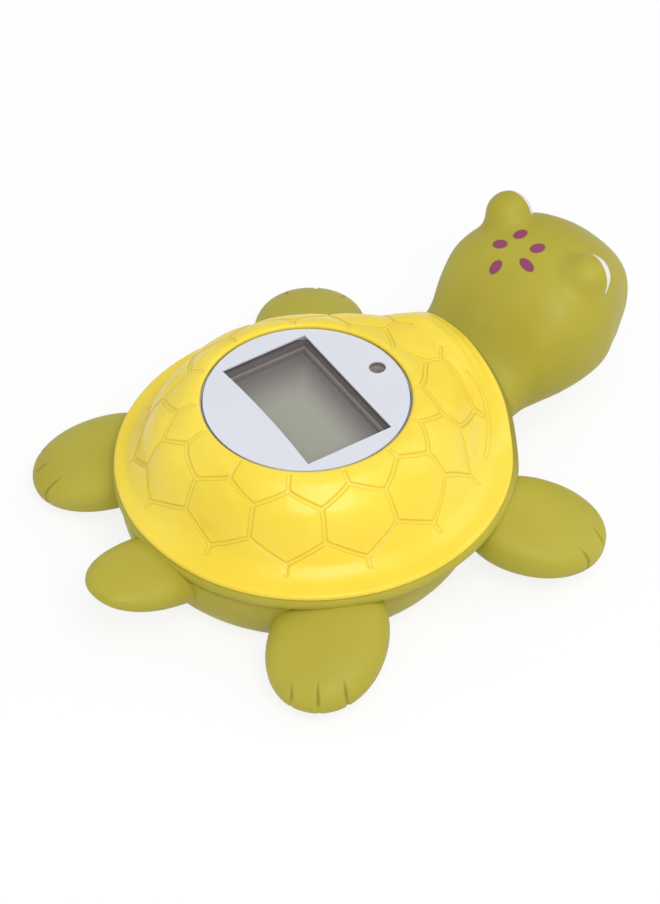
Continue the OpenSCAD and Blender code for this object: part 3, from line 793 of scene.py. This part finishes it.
# Painted light: the wall below the ledge is lighter, and the ledge itself gets a painted highlight.
low = 1 - height.step(ledge_height + 0.02, ledge_height + 0.08)
colour = low.blend(colour, lower_wall_painted_light)
inset = paint.math("MAXIMUM", paint.math("ABSOLUTE", long_way) - ledge_half_length,
                   paint.math("ABSOLUTE", short_way) - ledge_half_width)
ledge_highlight = low * height.step(ledge_height - 0.1, ledge_height - 0.04) * inset.step(0.4, 0.6)
colour = ledge_highlight.blend(colour, ledge_painted_highlight)
fore = short_way - light_fore
ring = 1 - paint.math("SQRT", long_way * long_way + fore * fore).step(*light_ring)
ring.blend(colour, ring_pale).to(shader["Base Color"])
(0.4 + 0.15 * noise(paint, place, 500.0)).to(shader["Roughness"])
bump(paint, noise(paint, place, 2200.0), 0.12, 0.0002).to(shader["Normal"])
dress("display_frame", dark)

display, paint, shader = new_finish("display_glass", {"Specular IOR Level": 0.5})
place = object_place(paint)
long_way, short_way, _ = on_face(paint, place)
# Painted shade toward the front and left walls.
shade = paint.math("MAXIMUM", short_way.step(*front_shade), (0 - long_way).step(*left_shade))
colour = noise(paint, place, 40.0).blend(glass_light, glass_deep)
(shade * 0.85).blend(colour, glass_shade).to(shader["Base Color"])
(0.22 + 0.08 * noise(paint, place, 400.0)).to(shader["Roughness"])
dress("lcd_panel", display)

# Light: a milky resin bulb behind the small round window of the film.
# It stands on the circuit board and is shown unlit, a little darker where the resin clouds.
bulb, paint, shader = new_finish("light_resin", {"Specular IOR Level": 0.5})
place = object_place(paint)
noise(paint, place, 500.0).blend(tone(214, 198, 188), tone(196, 182, 172)).to(shader["Base Color"])
(0.2 + 0.1 * noise(paint, place, 800.0)).to(shader["Roughness"])
dress("alarm_led", bulb)

# Case and inner pieces: white moulded plastic, grey silicone seals, board, resin, wire and bright metal.
# They are hidden until the module is lifted out or the cover is turned.


def moulded(name, light, deep, dull, grain_scale=1600.0, metal=0.0, strength=0.1):
    """A plain finish with a faint drift between two tones and a fine grain."""
    material, paint, shader = new_finish(name, {"Metallic": metal, "Specular IOR Level": 0.45})
    place = object_place(paint)
    noise(paint, place, 120.0, 3.0).blend(light, deep).to(shader["Base Color"])
    (dull + 0.12 * noise(paint, place, 420.0) - 0.06).to(shader["Roughness"])
    bump(paint, noise(paint, place, grain_scale), strength, 0.0003).to(shader["Normal"])
    return material


case_plastic = moulded("case_plastic", tone(228, 229, 233), tone(220, 221, 226), 0.42)
silicone = moulded("seal_silicone", tone(120, 121, 124), tone(104, 105, 109), 0.5)
foam = moulded("backing_foam", tone(150, 150, 142), tone(134, 134, 127), 0.8, grain_scale=900.0, strength=0.4)
zebra = moulded("zebra_rubber", tone(214, 140, 152), tone(196, 122, 136), 0.55)
laminate = moulded("board_laminate", tone(44, 104, 60), tone(34, 88, 48), 0.35)
metal = moulded("bright_metal", tone(206, 208, 210), tone(190, 192, 196), 0.28,
                grain_scale=900.0, metal=1.0, strength=0.06)
resin = moulded("black_resin", tone(34, 34, 37), tone(26, 26, 29), 0.25)
red_wire = moulded("red_wire", tone(178, 44, 44), tone(160, 36, 36), 0.4)
black_wire = moulded("black_wire", tone(40, 42, 48), tone(30, 32, 38), 0.4)
blue_wire = moulded("blue_wire", tone(58, 66, 150), tone(48, 56, 134), 0.4)
for material, nodes in (
        (case_plastic, ("seat_ring", "case_upper", "case_lower", "battery_cover")),
        (silicone, ("belly_seal", "module_gasket", "case_seal", "cover_oring")),
        (foam, ("lcd_backing",)),
        (zebra, ("zebra_strips",)),
        (laminate, ("circuit_board",)),
        (metal, ("board_screws", "timing_crystal", "coin_cell", "contact_negative", "contact_positive",
                 "probe_cap", "water_contacts")),
        (resin, ("controller_blob", "thermistor")),
        (red_wire, ("battery_leads",)),
        (black_wire, ("probe_leads",)),
        (blue_wire, ("contact_leads",))):
    for node in nodes:
        dress(node, material)

# Studio: a plain white floor under a white room, lit by three broad soft lamps.
# A long lens looks down from behind the right side, with hardly any perspective.
# It is set by where the round face lies in the photograph, and by the pixels that a metre takes there.
floor_size = 3.0
floor_glow = 0.8
floor_bm = bmesh.new()
bmesh.ops.create_grid(floor_bm, x_segments=1, y_segments=1, size=floor_size)
floor_mesh = bpy.data.meshes.new("floor")
floor_bm.to_mesh(floor_mesh)
floor_bm.free()
floor = bpy.data.objects.new("floor", floor_mesh)
bpy.context.scene.collection.objects.link(floor)
floor_finish, paint, shader = new_finish("floor_white", {
    "Base Color": (0.86, 0.86, 0.86, 1), "Roughness": 0.9, "Specular IOR Level": 0.0})
rays = paint.node("ShaderNodeLightPath", {}, {})
seen = paint.math("MAXIMUM", rays.beside("Is Camera Ray"),
                  paint.math("MAXIMUM", rays.beside("Is Glossy Ray"), rays.beside("Is Transmission Ray")))
glow = paint.node("ShaderNodeEmission", {}, {"Color": (1, 1, 1, 1), "Strength": 1.04})
principled = Sock(paint.tree, paint.tree.nodes["Principled BSDF"].outputs[0])
mixed = paint.node("ShaderNodeMixShader", {}, {0: seen * floor_glow, 1: principled, 2: glow})
mixed.to(paint.tree.nodes["Material Output"].inputs["Surface"])
floor_mesh.materials.append(floor_finish)

world = bpy.data.worlds.new("studio")
bpy.context.scene.world = world
world.use_nodes = True
paint = Sock(world.node_tree)
rays = paint.node("ShaderNodeLightPath", {}, {})
seen = paint.math("MAXIMUM", rays.beside("Is Camera Ray"), rays.beside("Is Transmission Ray"))
soft = paint.node("ShaderNodeBackground", {}, {"Color": (1, 1, 1, 1), "Strength": 0.48})
plain = paint.node("ShaderNodeBackground", {}, {"Color": (1, 1, 1, 1), "Strength": 1.0})
paint.node("ShaderNodeMixShader", {}, {0: seen, 1: soft, 2: plain}).to(
    world.node_tree.nodes["World Output"].inputs["Surface"])

lamp_target = Vector((0, 0, 0.02))
for name, spot, size, power in (("key", (0.6, -0.3, 0.95), 0.7, 7.2), ("fill", (-0.8, -0.5, 0.6), 0.8, 0.8),
                                ("back", (0.4, 0.85, 0.8), 0.7, 2.4)):
    lamp = bpy.data.lights.new(name, "AREA")
    lamp.size = size
    lamp.energy = power
    lamp_object = bpy.data.objects.new(name, lamp)
    lamp_object.location = spot
    lamp_object.rotation_euler = (lamp_target - Vector(spot)).to_track_quat("-Z", "Y").to_euler()
    bpy.context.scene.collection.objects.link(lamp_object)

photo_width, photo_height = 660, 904
face_pixel_across, face_pixel_down = 306.3, 398.7
pixels_per_metre = 4570.0
azimuth, elevation, roll = math.radians(50.4), math.radians(43.7), math.radians(0.85)
right = Vector((math.cos(azimuth), math.sin(azimuth), 0))
up = Vector((-math.sin(elevation) * math.sin(azimuth), math.sin(elevation) * math.cos(azimuth),
             math.cos(elevation)))
toward = right.cross(up)
right, up = right * math.cos(roll) - up * math.sin(roll), right * math.sin(roll) + up * math.cos(roll)
lens = bpy.data.cameras.new("camera")
lens.sensor_fit = "VERTICAL"
lens.sensor_height = 36.0
lens.lens = 200.0
distance = photo_height * lens.lens / (lens.sensor_height * pixels_per_metre)
face_middle = Vector((-axis_side, -axis_back, face_height)) / 1000
aim = (face_middle + right * (photo_width / 2 - face_pixel_across) / pixels_per_metre
       - up * (photo_height / 2 - face_pixel_down) / pixels_per_metre)
camera = bpy.data.objects.new("camera", lens)
facing = Matrix((right, up, toward)).transposed().to_4x4()
camera.matrix_world = Matrix.Translation(aim + toward * distance) @ facing
bpy.context.scene.collection.objects.link(camera)
bpy.context.scene.camera = camera
bpy.context.scene.view_settings.view_transform = "Standard"
